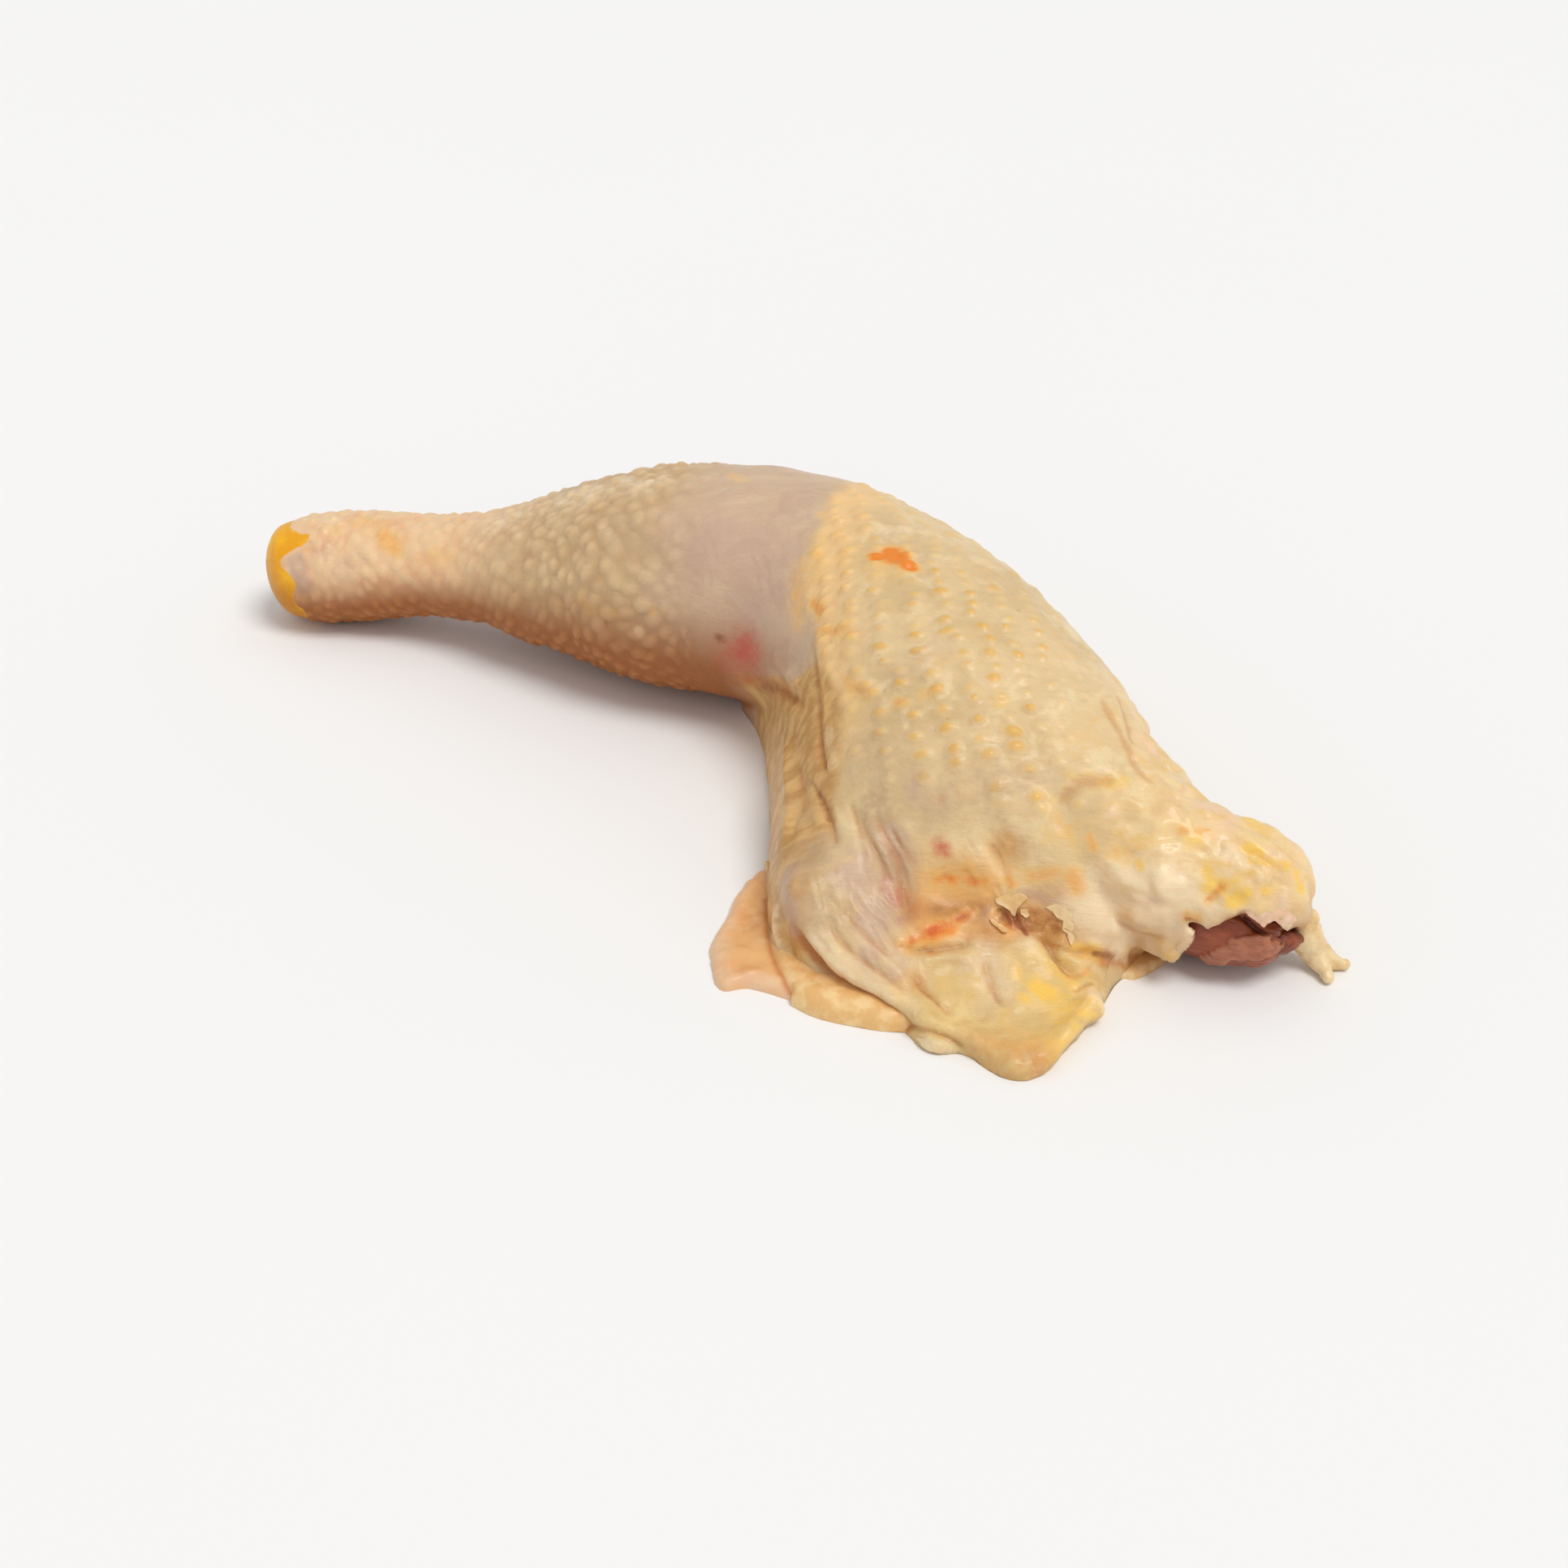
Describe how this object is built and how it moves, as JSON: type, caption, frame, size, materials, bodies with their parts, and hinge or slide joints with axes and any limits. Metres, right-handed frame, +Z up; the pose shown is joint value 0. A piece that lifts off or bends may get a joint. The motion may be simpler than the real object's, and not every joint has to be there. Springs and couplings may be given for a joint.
{
  "type": "raw chicken leg quarter",
  "caption": "Raw chicken leg quarter lying skin side up, with a loose apron of skin and dark meat showing at the cut end.",
  "frame": {"origin": "middle of the bounding box, at the level of the surface that the leg lies on", "axes": "+X from the hock to the cut end of the thigh, +Y away from the loose skin, +Z up"},
  "size_m": [0.2753, 0.1287, 0.0528],
  "materials": {
    "skin": "moist, soft sheen",
    "meat": "wet",
    "fat": "moist, soft sheen"
  },
  "bodies": {
    "root": {"leg_quarter": "skin", "thigh_meat": "meat", "fat_strand": "fat"}
  },
  "joints": []
}
